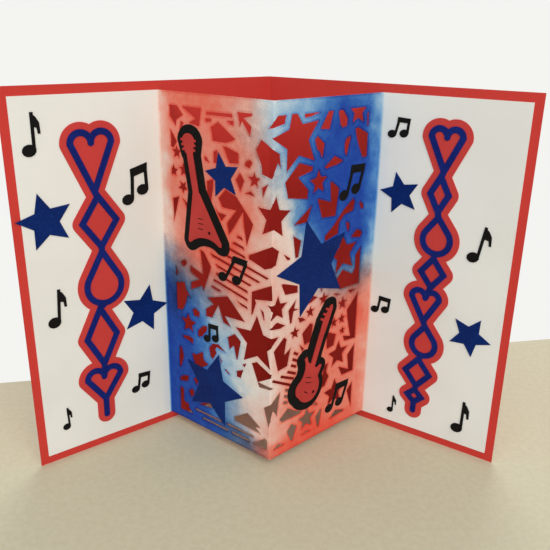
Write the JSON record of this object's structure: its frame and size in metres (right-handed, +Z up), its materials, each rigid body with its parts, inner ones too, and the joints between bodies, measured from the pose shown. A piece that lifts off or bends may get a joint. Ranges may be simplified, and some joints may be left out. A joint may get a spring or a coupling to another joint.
{
  "type": "pop up card",
  "caption": "Folded greeting card that stands open on its edge, with a die-cut insert that folds forward from the cover and carries glued-on stars, notes, guitars and line figures",
  "frame": {"origin": "middle of the open card's footprint, on the surface it stands on", "axes": "+X to the reader's right across the open card, +Y away from the reader towards the spine, +Z up along the folds"},
  "size_m": [0.1738, 0.066, 0.1397],
  "materials": {
    "red_card": "matte, fine-toothed card",
    "white_card": "matte white card with sprayed coral and blue ink on the die-cut panels",
    "blue_glitter_card": "fine dark blue glitter",
    "black_card": "matte, grained black card",
    "coral_card": "matte coral red card"
  },
  "bodies": {
    "root": {"cover": "red_card", "insert": "white_card", "left_garland_mat": "red_card", "left_garland": "blue_glitter_card", "right_garland_mat": "red_card", "right_garland": "blue_glitter_card", "wedge_guitar_mat": "black_card", "wedge_guitar": "coral_card", "horned_guitar_mat": "black_card", "horned_guitar": "coral_card", "blue_star_1": "blue_glitter_card", "blue_star_2": "blue_glitter_card", "blue_star_3": "blue_glitter_card", "blue_star_4": "blue_glitter_card", "blue_star_5": "blue_glitter_card", "blue_star_6": "blue_glitter_card", "blue_star_7": "blue_glitter_card", "note_1": "black_card", "note_2": "black_card", "note_3": "black_card", "note_4": "black_card", "note_5": "black_card", "note_6": "black_card", "note_7": "black_card", "note_8": "black_card", "note_9": "black_card", "note_10": "black_card", "note_11": "black_card", "note_12": "black_card", "note_13": "black_card", "note_14": "black_card"}
  },
  "joints": []
}
